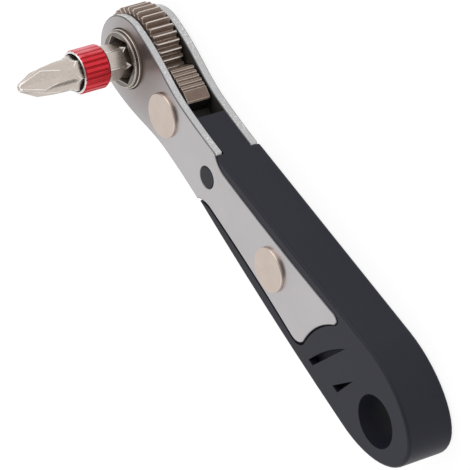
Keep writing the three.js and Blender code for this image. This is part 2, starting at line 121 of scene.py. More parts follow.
# %% Camera
AIM = Vector((-3.087, -4.088, 10.45)) * MM
AZIMUTH = math.radians(148.632)
ELEVATION = math.radians(30.508)
ROLL = math.radians(-107.323)
DISTANCE = 816.1 * MM
SENSOR_WIDTH = 36
FOCAL_LENGTH = 329.16
back = Vector((
    math.sin(AZIMUTH) * math.cos(ELEVATION),
    -math.cos(AZIMUTH) * math.cos(ELEVATION),
    math.sin(ELEVATION),
))
camera = bpy.data.objects.new("camera", bpy.data.cameras.new("camera"))
camera.data.sensor_width = SENSOR_WIDTH
camera.data.lens = FOCAL_LENGTH
camera.location = AIM + back * DISTANCE
turn = (-back).to_track_quat("-Z", "Y") @ Quaternion((0, 0, 1), ROLL)
camera.rotation_euler = turn.to_euler()
scene.collection.objects.link(camera)
scene.camera = camera
print("camera at", [round(v / MM) for v in camera.location], "mm")

# %% [markdown]
# ## Writing shaders as expressions
# A finish is a small program: it reads where a point lies on the piece and works out colour and
# roughness there. Nodes can be wired by hand, but long chains of Math nodes are hard to read.
# Here a class wraps a socket, so that `1 - mask` or `0.3 + 0.1 * grain` adds its own Math nodes,
# and a second class holds the shader with one method that adds any other node.

# %% Wires and finishes
class Wire:
    """An output socket of a shader. Maths on it adds Math nodes."""

    def __init__(self, finish, socket):
        self.finish, self.socket = finish, socket

    def maths(self, operation, a, b):
        return self.finish.node("ShaderNodeMath", {"operation": operation}, {0: a, 1: b})

    def __add__(self, other):
        return self.maths("ADD", self, other)

    __radd__ = __add__

    def __sub__(self, other):
        return self.maths("SUBTRACT", self, other)

    def __rsub__(self, other):
        return self.maths("SUBTRACT", other, self)

    def __mul__(self, other):
        return self.maths("MULTIPLY", self, other)

    __rmul__ = __mul__


class Finish:
    """A material or world with an empty shader, and the ways to fill it."""

    def __init__(self, owner):
        self.owner = owner
        owner.use_nodes = True
        self.tree = owner.node_tree
        self.tree.nodes.clear()

    def node(self, kind, settings=None, sockets=None, out=0):
        made = self.tree.nodes.new(kind)
        for name, value in (settings or {}).items():
            setattr(made, name, value)
        for name, value in (sockets or {}).items():
            if isinstance(value, Wire):
                self.tree.links.new(value.socket, made.inputs[name])
            else:
                made.inputs[name].default_value = value
        return Wire(self, made.outputs[out]) if made.outputs else None

    def place(self):
        """Where a point lies on its piece, in millimetres of the tool's own frame."""
        here = self.node("ShaderNodeTexCoord", out="Object")
        return self.node("ShaderNodeVectorMath", {"operation": "SCALE"}, {0: here, "Scale": 1 / MM})

    def stretched(self, place, by):
        return self.node("ShaderNodeVectorMath", {"operation": "MULTIPLY"}, {0: place, 1: by})

    def dot(self, a, b):
        return self.node("ShaderNodeVectorMath", {"operation": "DOT_PRODUCT"}, {0: a, 1: b}, out="Value")

    def noise(self, place, per_mm, detail=2.0, rough=0.5):
        return self.node("ShaderNodeTexNoise", None, {
            "Vector": place, "Scale": per_mm, "Detail": detail, "Roughness": rough,
        })

    def between(self, value, low, high):
        """0 where value is under low, 1 where it is over high, and smooth between."""
        return self.node("ShaderNodeMapRange", {"interpolation_type": "SMOOTHSTEP"}, {
            "Value": value, "From Min": low, "From Max": high,
        })

    def mix(self, share, a, b):
        """Colour a where share is 0, colour b where it is 1."""
        a, b = ((*c, 1) if isinstance(c, tuple) else c for c in (a, b))
        return self.node("ShaderNodeMix", {"data_type": "RGBA"}, {0: share, 6: a, 7: b}, out=2)

    def bump(self, height, microns):
        """A normal that follows the height, where 1 stands so many thousandths of a millimetre up."""
        return self.node("ShaderNodeBump", None, {"Height": height, "Distance": microns * MM * MM})

    def edge_turn(self, reach):
        """1 along the edges, where the surface turns within so many millimetres, and 0 elsewhere."""
        eased = self.node("ShaderNodeBevel", {"samples": 8}, {"Radius": reach * MM})
        plain = self.node("ShaderNodeNewGeometry", out="Normal")
        return self.between(1 - self.dot(eased, plain), 0.004, 0.02)

    def surface(self, **sockets):
        named = {name.replace("_", " "): value for name, value in sockets.items()}
        self.shown(self.node("ShaderNodeBsdfPrincipled", None, named))

    def shown(self, shader):
        self.node("ShaderNodeOutputMaterial", None, {"Surface": shader})


print("shader helpers ready")

# %% [markdown]
# ## Satin nickel on the plates
# The side plates are stamped from sheet steel, tumbled until the faces are smooth, and plated with
# nickel. A flat grey metal would look like a drawing. Real plating drifts slowly in tone, keeps a
# fine tumbled grain, and shows faint lines from rolling the sheet, so three noises are laid over
# each other and feed the colour, the roughness and a bump of about a thousandth of a millimetre.
# Beside the wheel's collar the plate is painted a warm, darker tone: painted shade.
# The rolled rim is painted darker in broken patches, a painted shade line along the corner, and
# the faces inside the tool are painted dark and dull, as painted shade between the plates.

# %% Plate face
def finish(name):
    return Finish(bpy.data.materials.new(name))


def from_axis(made, place, x, y):
    """How far a point lies from an upright axis, in millimetres."""
    off = made.node("ShaderNodeVectorMath", {"operation": "SUBTRACT"}, {0: place, 1: (x, y, 0)})
    flat = made.stretched(off, (1, 1, 0))
    return made.node("ShaderNodeVectorMath", {"operation": "LENGTH"}, {0: flat}, out="Value")


COLLAR_SHADE_X, COLLAR_SHADE_Y = -42, 3
COLLAR_SHADE_CORE, COLLAR_SHADE_REACH = 3, 19
plate_face = finish("satin nickel")
place = plate_face.place()
drift = plate_face.noise(place, per_mm=0.1, detail=3)
grain = plate_face.noise(place, per_mm=2.6, detail=4, rough=0.6)
sheet_lines = plate_face.noise(plate_face.stretched(place, (0.3, 5, 5)), per_mm=1)
nickel = plate_face.mix(drift, (0.475, 0.452, 0.458), (0.555, 0.532, 0.542))
# painted shade: a warm, darker patch painted on the plate round the collar
collar_shade_edge = from_axis(plate_face, place, COLLAR_SHADE_X, COLLAR_SHADE_Y) + 3 * drift
collar_shade = 1 - plate_face.between(collar_shade_edge, COLLAR_SHADE_CORE, COLLAR_SHADE_REACH)
plate_face.surface(
    Base_Color=plate_face.mix(collar_shade, nickel, (0.27, 0.232, 0.222)),
    Metallic=1,
    Roughness=0.22 + 0.08 * grain + 0.06 * drift,
    Normal=plate_face.bump(grain + 0.6 * sheet_lines, microns=1),
)

# painted shade: a dark line painted along the rolled rim, broken by a noise
rim_shade_line = finish("rolled rim")
place = rim_shade_line.place()
rim_shade_breakup = rim_shade_line.noise(place, per_mm=0.12, detail=5, rough=0.65)
rim_shade_line.surface(
    Base_Color=rim_shade_line.mix(rim_shade_breakup, (0.06, 0.058, 0.06), (0.22, 0.215, 0.22)),
    Metallic=1,
    Roughness=0.4 - 0.15 * rim_shade_breakup,
    Normal=rim_shade_line.bump(rim_shade_line.noise(place, per_mm=2.6, detail=4), microns=1),
)

# painted shade: the plates' inner faces are painted near black
inner_face_shade = finish("inner face with painted shade")
place = inner_face_shade.place()
inner_shade_mottle = inner_face_shade.noise(place, per_mm=0.4, detail=4, rough=0.6)
inner_face_shade.surface(
    Base_Color=inner_face_shade.mix(inner_shade_mottle, (0.05, 0.044, 0.04), (0.1, 0.09, 0.082)),
    Metallic=0.5,
    Roughness=0.42 + 0.15 * inner_shade_mottle,
    Normal=inner_face_shade.bump(inner_shade_mottle, microns=4),
)
print("plate face:", len(plate_face.tree.nodes), "nodes, rim:", len(rim_shade_line.tree.nodes))

# %% [markdown]
# ## Bright sheared edges
# Where the punch cut through the sheet, the edge is bare and bright, with fine streaks across the
# thickness of the plate. The same grey could be used all over, but the pale edge line is what makes
# the plates read as sheet metal. The streaks are a noise that is stretched along Z, because the
# punch moved that way. In patches the edge is painted with bright specks, as painted glints.

# %% Plate edge
plate_edge = finish("sheared edge")
place = plate_edge.place()
streak = plate_edge.noise(plate_edge.stretched(place, (1, 1, 0.12)), per_mm=4.5, detail=3, rough=0.65)
glint_patch = plate_edge.between(plate_edge.noise(place, per_mm=0.16, detail=2), 0.42, 0.6)
# painted glints: bright specks painted on the edge, thickest in patches
edge_glint = plate_edge.between(plate_edge.noise(place, per_mm=3.2, detail=3), 0.52, 0.66)
plate_edge.surface(
    Base_Color=plate_edge.mix(edge_glint * (0.25 + 0.75 * glint_patch), (0.5, 0.497, 0.505), (0.9, 0.9, 0.9)),
    Metallic=1,
    Roughness=0.18 + 0.25 * streak,
    Normal=plate_edge.bump(streak, microns=6),
)
print("plate edge:", len(plate_edge.tree.nodes), "nodes")

# %% [markdown]
# ## Charcoal moulding
# The handle is injection moulded in a tool with a spark-eroded surface, which leaves a fine even
# grain, so the black is satin and not glossy. Hands polish the high spots of that grain first.
# A noise of about three grains to the millimetre gives the bump, and a slow one the handling.

# %% Handle finish
moulding = finish("charcoal moulding")
place = moulding.place()
spark = moulding.noise(place, per_mm=3.2, detail=3, rough=0.6)
handled = moulding.noise(place, per_mm=0.07, detail=2)
moulding.surface(
    Base_Color=moulding.mix(handled, (0.0125, 0.013, 0.021), (0.0175, 0.018, 0.028)),
    Roughness=0.36 + 0.1 * spark + 0.08 * handled,
    Specular_IOR_Level=0.22,
    Normal=moulding.bump(spark, microns=6),
)
print("moulding:", len(moulding.tree.nodes), "nodes")

# %% [markdown]
# ## Sintered steel
# Wheel and pawl are pressed from powder and sintered, then blackened in oil. The surface is a dark
# bronze grey with tiny open pores. Pores are where a fine noise passes a limit: they are darker and
# rougher than the metal round them. Tooth tips and the edges of the ribs rub bright in use, so the
# broken edges get a second, polished finish. The pawl is a little darker than the wheel, so one
# function makes both from their tones. What lies deep behind the pawl is painted near black: painted
# shade.

# %% Wheel and pawl finishes
def sintered_steel(name, dark, light):
    """Pressed and sintered steel with open pores, between two tones."""
    made = finish(name)
    place = made.place()
    pore = made.between(made.noise(place, per_mm=4.2, detail=2, rough=0.6), 0.58, 0.7)
    tint = made.noise(place, per_mm=0.35, detail=2)
    made.surface(
        Base_Color=made.mix(pore, made.mix(tint, dark, light), (0.1, 0.075, 0.06)),
        Metallic=0.4,
        Roughness=0.36 + 0.25 * pore + 0.06 * tint,
        Normal=made.bump(1 - pore, microns=8),
    )
    return made


wheel_steel = sintered_steel("sintered wheel", (0.245, 0.18, 0.142), (0.32, 0.238, 0.19))
pawl_steel = sintered_steel("sintered pawl", (0.18, 0.124, 0.092), (0.24, 0.169, 0.128))

rubbed = finish("rubbed steel")
place = rubbed.place()
rub = rubbed.noise(rubbed.stretched(place, (3, 3, 0.4)), per_mm=1.5, detail=3)
rubbed.surface(
    Base_Color=rubbed.mix(rub, (0.52, 0.46, 0.42), (0.72, 0.66, 0.62)),
    Metallic=1,
    Roughness=0.2 + 0.14 * rub,
    Normal=rubbed.bump(rub, microns=2),
)

# painted shade: a near-black finish for the pawl's tail behind the rivet
tail_shade = finish("tail painted shade steel")
place = tail_shade.place()
tail_shade_mottle = tail_shade.noise(place, per_mm=1.2, detail=3)
tail_shade.surface(
    Base_Color=tail_shade.mix(tail_shade_mottle, (0.012, 0.011, 0.01), (0.024, 0.021, 0.019)),
    Metallic=0.6,
    Roughness=0.45 + 0.2 * tail_shade_mottle,
    Normal=tail_shade.bump(tail_shade_mottle, microns=4),
)
print("sintered steel:", len(wheel_steel.tree.nodes), "nodes")

# %% [markdown]
# ## Champagne nickel
# The rivets have a warmer plating than the plates. Their heads were formed under a spinning die,
# which leaves faint rings. The wheel's collar is turned, and has rings too. They could be a bump
# drawn on one piece, but here a function makes such a metal for any upright axis: roughness and
# bump follow the distance from that axis, so each ring runs true about it.

# %% Rivet finish
def ringed(made, radius, per_mm):
    """Fine rings about an axis, from 0 to 1, none like the next."""
    return made.node("ShaderNodeTexNoise", {"noise_dimensions": "1D"}, {
        "W": radius * per_mm, "Scale": 1, "Detail": 2,
    })


def turned_metal(name, x, y, dark, light, smooth):
    """A metal with faint rings about an upright axis, between two tones."""
    made = finish(name)
    place = made.place()
    rings = ringed(made, from_axis(made, place, x, y), per_mm=2.2)
    drift = made.noise(place, per_mm=0.4, detail=3)
    made.surface(
        Base_Color=made.mix(drift, dark, light),
        Metallic=1,
        Roughness=smooth + 0.08 * rings + 0.06 * drift,
        Normal=made.bump(rings, microns=2.5),
    )
    return made


DRIVE = Vector((-46.9, -0.951, 0))
COLLAR_TONES = (0.165, 0.145, 0.131), (0.23, 0.206, 0.187)
# painted shade: the socket walls are given darker tones than the collar
SOCKET_SHADE_TONES = (0.13, 0.114, 0.104), (0.19, 0.17, 0.155)
RIVET_TONES = (0.555, 0.465, 0.4), (0.655, 0.56, 0.5)
SMOOTH, OILY = 0.16, 0.25
collar = turned_metal("turned collar", DRIVE.x, DRIVE.y, *COLLAR_TONES, SMOOTH)
socket = turned_metal("socket with painted shade", DRIVE.x, DRIVE.y, *SOCKET_SHADE_TONES, OILY)
print("turned collar:", len(collar.tree.nodes), "nodes, socket:", len(socket.tree.nodes))

# %% [markdown]
# ## Satin nickel on the bit
# An insert bit is turned and ground, then plated with a matt nickel that is a little yellower than
# the plates. The grinding runs round the axis, so the noise is squeezed along Z into fine rounds.
# Along its edges the nickel is painted bright: wear on the outer edges and a painted highlight on the
# hollow edges in the flutes. A Bevel node finds those edges: it gives the normal that a rounded edge
# would have, and where that leaves the true normal, the surface turns.

# %% Bit finish
ground = finish("ground nickel")
place = ground.place()
rounds = ground.noise(ground.stretched(place, (0.5, 0.5, 6)), per_mm=1, detail=3)
drift = ground.noise(place, per_mm=0.3, detail=2)
drawn_lines = ground.noise(ground.stretched(place, (6, 6, 0.35)), per_mm=1, detail=2)
lines = ground.between(drawn_lines, 0.25, 0.75)
# painted highlight: the edge mask brightens hollow edges as well as worn outer ones
wear_and_highlight = ground.edge_turn(reach=0.25)
nickel = ground.mix(0.6 * lines + 0.4 * drift, (0.48, 0.42, 0.375), (0.62, 0.555, 0.505))
ground.surface(
    Base_Color=ground.mix(wear_and_highlight, nickel, (0.95, 0.92, 0.89)),
    Metallic=1,
    Roughness=0.16 + 0.1 * rounds + 0.05 * drift,
    Normal=ground.bump(rounds + 0.6 * lines, microns=1.5),
)
print("ground nickel:", len(ground.tree.nodes), "nodes")

# %% [markdown]
# ## Red anodised aluminium
# Anodising dyes the oxide skin of the aluminium, so the sleeve is a metal seen through red glass:
# the colour sits in the metal and a thin clear coat lies over it. After dyeing, both rims were
# faced on the lathe, which left them bare and bright. Two finishes on different faces give that.
# The ribs on one side of the sleeve are painted paler, a painted highlight, and the grooves are painted
# a darker red, as painted shade.

# %% Sleeve finishes
SLEEVE_CREST, SLEEVE_GROOVE = 4.4, 4.16
# painted highlight: the ribs on this side are painted paler
SHEEN_SIDE = (-0.65, 0.76, 0)
anodised = finish("red anodised")
place = anodised.place()
dye = anodised.noise(place, per_mm=0.5, detail=3)
etch = anodised.noise(place, per_mm=5, detail=2)
reach = from_axis(anodised, place, DRIVE.x, DRIVE.y)
# painted shade: the grooves between the ribs are painted a darker red
crest = anodised.between(reach, SLEEVE_GROOVE, SLEEVE_GROOVE + 0.12)
red = anodised.mix(dye, (0.56, 0.018, 0.03), (0.7, 0.034, 0.05))
off = anodised.node("ShaderNodeVectorMath", {"operation": "SUBTRACT"}, {0: place, 1: DRIVE})
towards = anodised.dot(off, SHEEN_SIDE)
painted_sheen = anodised.between(towards + 1.2 * dye, 3.6, 5.2) * crest
red = anodised.mix(0.7 * painted_sheen, red, (0.8, 0.3, 0.34))
anodised.surface(
    Base_Color=anodised.mix(crest, (0.4, 0.01, 0.018), red),
    Metallic=0.8,
    Roughness=0.26 + 0.12 * etch,
    Coat_Weight=0.1,
    Coat_Roughness=0.2,
    Normal=anodised.bump(etch, microns=2),
)

bare = finish("bare aluminium")
place = bare.place()
facing = bare.noise(place, per_mm=4, detail=2)
bare.surface(
    Base_Color=bare.mix(facing, (0.72, 0.71, 0.71), (0.84, 0.84, 0.84)),
    Metallic=1,
    Roughness=0.2 + 0.15 * facing,
    Normal=bare.bump(facing, microns=2),
)
print("anodised:", len(anodised.tree.nodes), "nodes, bare:", len(bare.tree.nodes))

# %% [markdown]
# ## Oiled steel for the hidden pieces
# Ball, spring, bush and retaining ring are bright steel under a film of grease. They hardly show,
# but a turned view or an exploded one finds them, so they get a finish of their own.

# %% Small steel
oiled = finish("oiled steel")
place = oiled.place()
film = oiled.noise(place, per_mm=0.9, detail=3)
oiled.surface(
    Base_Color=oiled.mix(film, (0.42, 0.42, 0.425), (0.56, 0.56, 0.56)),
    Metallic=1,
    Roughness=0.14 + 0.16 * film,
    Normal=oiled.bump(film, microns=1.5),
)
print("oiled steel:", len(oiled.tree.nodes), "nodes")

# %% [markdown]
# ## From solid to piece
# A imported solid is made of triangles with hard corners, and no real edge is perfectly sharp: even a
# break of a tenth of a millimetre catches light. The edges could be modelled one by one. Here the
# triangles are welded and joined into whole faces, and a Bevel modifier then breaks every outer
# edge that turns sharply: an edge attribute named bevel_weight_edge tells it which. A Weld modifier
# joins the points that meet where bevels run together, and a Weighted Normal modifier keeps the
# large faces flat and lets only the broken edges shade softly. Lengths are in millimetres.

# %% Dressing a solid
FLAT = math.radians(0.2)
SAME_POINT = 0.002
DOUBLED = 0.0005


def skin_of(node, weld=SAME_POINT):
    """The solid's faces as one closed skin, with points welded and flat triangles joined."""
    skin = bmesh.new()
    skin.from_mesh(nodes[node].data)
    bmesh.ops.remove_doubles(skin, verts=skin.verts, dist=weld * MM)
    bmesh.ops.dissolve_limit(
        skin, angle_limit=FLAT, use_dissolve_boundaries=False,
        verts=skin.verts, edges=skin.edges, delimit=set(),
    )
    bmesh.ops.recalc_face_normals(skin, faces=skin.faces)
    return skin


def piece(name, skin, node, slot, *finishes, sharper_than=30):
    """A skin as an object that stands for a solid and rides on its body."""
    mesh = bpy.data.meshes.new(name)
    skin.to_mesh(mesh)
    skin.free()
    for made in finishes:
        mesh.materials.append(made.owner)
    mesh.shade_smooth()
    mesh.set_sharp_from_angle(angle=math.radians(sharper_than))
    obj = bpy.data.objects.new(name, mesh)
    scene.collection.objects.link(obj)
    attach(obj, body_of(nodes[node])[0])
    print(f"{name}: {len(mesh.polygons)} faces")
    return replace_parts(obj, node)


def level(obj):
    obj.modifiers.new("flat faces stay flat", "WEIGHTED_NORMAL").keep_sharp = True


def mark_edges(skin, sharper_than=30):
    """Marks the outer edges that a Bevel modifier is to break."""
    weight = skin.edges.layers.float.new("bevel_weight_edge")
    for edge in skin.edges:
        edge[weight] = edge.is_convex and edge.calc_face_angle() > math.radians(sharper_than)


def break_edges(obj, width, steps=3, edge_finish=-1):
    bevel = obj.modifiers.new("broken edges", "BEVEL")
    bevel.width = width * MM
    bevel.segments = steps
    bevel.limit_method = "WEIGHT"
    bevel.material = edge_finish
    obj.modifiers.new("no doubled points", "WELD").merge_threshold = DOUBLED * MM
    level(obj)


print(sum(len(solid.data.polygons) for solid in nodes.values()), "triangles to dress")

# %% [markdown]
# ## The two side plates
# Both plates are the same stamping, and a punch rolls the rim of the sheet over before it cuts. A
# Bevel modifier would do for a simple outline, but beside round holes it runs out of room. So the
# outline of the solid's upper face is read back as closed runs of points, moved inwards step by
# step along a quarter round, and filled. Outer face, wall, rolled rim and inner face each get their
# own finish.

# %% Plates
OUTLINE_WELD = 0.05
LONGEST_MITRE = 2


def outlines(node):
    """The rims of a flat piece's upper face in millimetres, with the metal on their left."""
    solid = skin_of(node, weld=OUTLINE_WELD)
    top = max(v.co.z for v in solid.verts)
    upper = {f for f in solid.faces if all(v.co.z > top - SAME_POINT * MM for v in f.verts)}
    follows = {
        loop.vert: loop.link_loop_next.vert
        for f in upper for loop in f.loops if loop.link_loop_radial_next.face not in upper
    }
    runs = []
    while follows:
        start, here = follows.popitem()
        run = [start]
        while here != start:
            run.append(here)
            here = follows.pop(here)
        runs.append([v.co.xy / MM for v in run])
    solid.free()
    return runs


def corners(run):
    return zip(run[-1:] + run, run, run[1:] + run[:1])


def inset(run, by):
    """A run moved into the metal."""
    moved = []
    for before, here, beyond in corners(run):
        a, b = (here - before).normalized(), (beyond - here).normalized()
        way = (a + b).normalized()
        left = Vector((-way.y, way.x))
        moved.append(here + left * by / max(left.dot(Vector((-a.y, a.x))), 1 / LONGEST_MITRE))
    return moved


FACE, WALL, RIM, INSIDE = range(4)


def rolled(runs, low, high, roll, steps=4):
    """A flat piece between two heights, with its rims rolled over."""
    skin = bmesh.new()
    turns = [math.radians(90 * i / steps) for i in range(steps + 1)]
    under = [(roll * (1 - math.cos(a)), low + roll * (1 - math.sin(a))) for a in reversed(turns)]
    over = [(roll * (1 - math.cos(a)), high - roll * (1 - math.sin(a))) for a in turns]
    rims = {low: [], high: []}
    for run in runs:
        rows = [
            [skin.verts.new((*p * MM, z * MM)) for p in inset(run, by)] for by, z in under + over
        ]
        for i, (row, beyond) in enumerate(zip(rows, rows[1:])):
            for a, b, c, d in zip(row, row[1:] + row[:1], beyond[1:] + beyond[:1], beyond):
                skin.faces.new((a, b, c, d)).material_index = WALL if i == steps else RIM
        for z, row in ((low, rows[0]), (high, rows[-1])):
            rims[z] += [skin.edges.get(pair) for pair in zip(row, row[1:] + row[:1])]
    for rim in rims.values():
        bmesh.ops.triangle_fill(skin, use_beauty=True, edges=rim)
    bmesh.ops.recalc_face_normals(skin, faces=skin.faces)
    return skin


PLATE_ROLL = 0.2
MID_PLANE = 5.55
for node, name in (("front_plate", "plate_front"), ("rear_plate", "plate_rear")):
    low, high = (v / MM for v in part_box(node))
    skin = rolled(outlines(node), low.z, high.z, PLATE_ROLL)
    for f in skin.faces:
        if f.material_index == FACE and f.normal.z * ((low + high).z / 2 - MID_PLANE) < 0:
            f.material_index = INSIDE
    level(piece(name, skin, node, "plate", plate_face, plate_edge, rim_shade_line, inner_face_shade))

# %% [markdown]
# ## The handle
# The handle is one injection moulding, and the solid already has its rounded outer edges. The rims
# of its pockets, its hang hole and its grooves are only just broken, as a moulding tool leaves them.
# They could be drawn by hand, but the Bevel modifier finds them all by their angle.

# %% Handle
HANDLE_BREAK = 0.14
skin = skin_of("handle", weld=0.03)
mark_edges(skin)
break_edges(piece("handle_moulding", skin, "handle", "moulding", moulding), HANDLE_BREAK)

# %% [markdown]
# ## Drive wheel
# The lands on the tooth tips are rubbed bright by the pawl: they are the faces that lie at the tip
# radius. The other outer edges are broken and rub bright too. The collar above the plate is turned,
# and the walls of the hex socket are painted darker, as painted shade. All this could be painted by
# a mask, but whole faces are told apart more sharply by where they lie and which way they look.

# %% Drive wheel
RUBBED, COLLAR, SOCKET = 1, 2, 3
TIP_LANDS_FROM = 9.6
SOCKET_REACH = 4
LEVEL = 0.5
PLATE_TOP = 10.45
WHEEL_BREAK = 0.07
skin = skin_of("ratchet_wheel")
for f in skin.faces:
    middle = f.calc_center_median() / MM
    arm = (middle - DRIVE).xy.length
    if middle.z > PLATE_TOP and (arm > SOCKET_REACH or f.normal.z > LEVEL):
        f.material_index = COLLAR
    elif arm > TIP_LANDS_FROM:
        f.material_index = RUBBED
    elif arm < SOCKET_REACH and abs(f.normal.z) < LEVEL:
        f.material_index = SOCKET
mark_edges(skin)
wheel = piece("drive_wheel", skin, "ratchet_wheel", "sintered", wheel_steel, rubbed, collar, socket)
break_edges(wheel, WHEEL_BREAK, steps=2, edge_finish=RUBBED)

# %% [markdown]
# ## Reversing pawl
# The pawl is flat as the plates are, so it is drawn in the same way from its outline. Its corners
# are first rounded in the outline itself, each by a short curve between its two edges. Where such
# a corner sticks out, as on the thumb ribs, it is rubbed bright. The tail in the dark behind the
# rivet is painted near black, as painted shade.

# %% Reversing pawl
EASED_OVER = math.radians(25)
EASED_SHARE = 0.35


def eased(run, radius, steps=3):
    """A run with its sharp corners rounded off."""
    points = []
    for before, here, beyond in corners(run):
        behind, on = before - here, beyond - here
        turn = math.pi - behind.angle(on)
        if turn < EASED_OVER:
            points.append(here)
            continue
        cut = min(radius * math.tan(turn / 2), EASED_SHARE * behind.length, EASED_SHARE * on.length)
        start, end = here + behind.normalized() * cut, here + on.normalized() * cut
        for share in (i / steps for i in range(steps + 1)):
            points.append(start.lerp(here, share).lerp(here.lerp(end, share), share))
    return points


SINTERED, WORN, TAIL_SHADE = range(3)
PAWL_CORNER = 0.1
PAWL_ROLL = 0.08
NARROW = 0.08
TAIL_FROM = -29.25
TAIL_HALF = 5
low, high = (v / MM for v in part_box("reversing_pawl"))
runs = [eased(run, PAWL_CORNER) for run in outlines("reversing_pawl")]
skin = rolled(runs, low.z, high.z, PAWL_ROLL, steps=2)
for f in skin.faces:
    middle = f.calc_center_median() / MM
    narrow = f.material_index == WALL and min(e.calc_length() for e in f.edges) < NARROW * MM
    outward = all(e.is_convex for e in f.edges if e.calc_face_angle() > FLAT)
    # painted shade: the tail faces get the near-black finish
    if middle.x > TAIL_FROM and abs(middle.y - DRIVE.y) < TAIL_HALF:
        f.material_index = TAIL_SHADE
    else:
        rubs = f.material_index == RIM or (narrow and outward)
        f.material_index = WORN if rubs else SINTERED
level(piece("rocker_pawl", skin, "reversing_pawl", "sintered", pawl_steel, rubbed, tail_shade))

# %% [markdown]
# ## Rivets and ball
# A round piece is best drawn as a profile and spun about its axis, which gives an even, fine mesh.
# The rivet's rim is a quarter round, and its face is a touch hollow in the middle, as the
# forming die leaves it.

# %% Turned pieces
def spun(profile, x, y, steps=96):
    """A profile of (radius, height) pairs in millimetres, spun about an upright axis."""
    skin = bmesh.new()
    axis = Vector((x, y, 0)) * MM
    points = [skin.verts.new(axis + Vector((r, 0, z)) * MM) for r, z in profile]
    edges = [skin.edges.new(pair) for pair in zip(points, points[1:])]
    bmesh.ops.spin(
        skin, geom=points + edges, cent=axis, axis=(0, 0, 1),
        angle=2 * math.pi, steps=steps, use_merge=True,
    )
    bmesh.ops.remove_doubles(skin, verts=skin.verts, dist=SAME_POINT * MM)
    bmesh.ops.recalc_face_normals(skin, faces=skin.faces)
    return skin


def arc(x, z, r, start, end, steps=6):
    """Points of a round corner, with the angles in degrees from outward to up."""
    angles = [math.radians(start + (end - start) * i / steps) for i in range(steps + 1)]
    return [(x + r * math.cos(a), z + r * math.sin(a)) for a in angles]


RIVET_RIM = 0.24
RIVET_DISH = 0.03
RIVET_HEAD = 0.65
RIVET_SHANK = 1.9
UNDER_BREAK = 0.05
for node in ("pawl_rivet", "handle_rivet"):
    low, high = (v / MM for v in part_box(node))
    x, y, middle = (low + high) / 2
    r, half = (high.x - low.x) / 2, (high.z - low.z) / 2
    under = half - RIVET_HEAD
    top = [
        (RIVET_SHANK, under), (r - UNDER_BREAK, under), (r, under + UNDER_BREAK),
        *arc(r - RIVET_RIM, half - RIVET_RIM, RIVET_RIM, 0, 90),
        (r * 0.8, half - RIVET_DISH / 3), (r * 0.5, half - RIVET_DISH), (0, half - RIVET_DISH),
    ]
    profile = [(a, middle - b) for a, b in reversed(top)] + [(a, middle + b) for a, b in top]
    nickel = turned_metal(f"champagne {node}", x, y, *RIVET_TONES, SMOOTH)
    level(piece(f"{node}_formed", spun(profile, x, y), node, "rivet", nickel))

low, high = (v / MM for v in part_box("detent_ball"))
centre, r = (low + high) / 2, (high.x - low.x) / 2
skin = spun(arc(0, centre.z, r, -90, 90, steps=32), centre.x, centre.y, steps=64)
piece("detent_ball_ground", skin, "detent_ball", "steel", oiled)
print("ball radius", round(r, 2), "mm")

# %% [markdown]
# ## The detent spring
# The spring is wound from wire with closed end turns that are ground square. It sits in its bore
# behind the ball. A curve with a round bevel is the easiest way to draw wire, and it is turned
# into a mesh at the end, because only a mesh can shorten as the ball is pushed back.

# %% Spring
low, high = (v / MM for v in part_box("detent_spring"))
WIRE = 0.4
TURNS = 8.5
PER_TURN = 24
length = high.x - low.x - WIRE
radius = (high.z - low.z) / 2 - WIRE / 2
curve = bpy.data.curves.new("coil", "CURVE")
curve.dimensions = "3D"
curve.bevel_depth = WIRE / 2 * MM
curve.bevel_resolution = 4
curve.use_fill_caps = True
steps = int(TURNS * PER_TURN)
path = curve.splines.new("POLY")
path.points.add(steps)
for i, point in enumerate(path.points):
    turn = TURNS * i / steps
    closed = min(turn, 1) + max(0, turn - TURNS + 1)
    open_turns = max(0, min(turn - 1, TURNS - 2))
    angle = 2 * math.pi * turn
    x = low.x + WIRE / 2 + closed * WIRE + open_turns * (length - 2 * WIRE) / (TURNS - 2)
    y = (low.y + high.y) / 2 + radius * math.cos(angle)
    z = (low.z + high.z) / 2 + radius * math.sin(angle)
    point.co = (x * MM, y * MM, z * MM, 1)
drawn = bpy.data.objects.new("coil", curve)
scene.collection.objects.link(drawn)
skin = bmesh.new()
skin.from_mesh(drawn.evaluated_get(bpy.context.evaluated_depsgraph_get()).to_mesh())
bpy.data.objects.remove(drawn)
coil = piece("detent_coil", skin, "detent_spring", "steel", oiled)
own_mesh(coil)
print(coil.name, round(length, 2), "mm long,", TURNS, "turns")

# %% [markdown]
# ## Bush and retaining ring
# The bush is a turned tube that keeps the plates apart under the pawl, and the ring is bent from
# wire and springs into the socket. Both could be spun anew, but the solids already have the right
# shape and hardly show, so they stay as they are and only get their steel.

# %% Carried over
for node in ("pawl_bush", "bit_retaining_ring"):
    nodes[node].data.materials.clear()
    nodes[node].data.materials.append(oiled.owner)
    print(node, "keeps its shape")

# %% [markdown]
# ## The bit
# The bit is ground from hexagon bar. Its flutes and cone meet in sharp edges, and the solid has them
# already. A bevel would soften them too much, so only the angle from which an edge counts as sharp
# is set lower here, and the shallow flutes keep crisp lines.

# %% Bit
CRISP = 16
skin = skin_of("driver_bit", weld=0.01)
level(piece("cross_point_bit", skin, "driver_bit", "bit", ground, sharper_than=CRISP))

# %% [markdown]
# ## The sleeve
# The sleeve is a ring with grooves milled along it and a chamfer turned at each end. Its faced rims
# and its bore are cut after the dye, so they are bare, and the chamfer runs in scallops where it
# meets the grooves. A Bevel modifier can't follow that border. So the surface is drawn as rows
# of points round the axis. In each row the radius is the smaller of two: that of the grooved wall
# and that of the chamfer. LANDS holds the places of a rib's points, in shares of its pitch: close
# together where the wall bends.

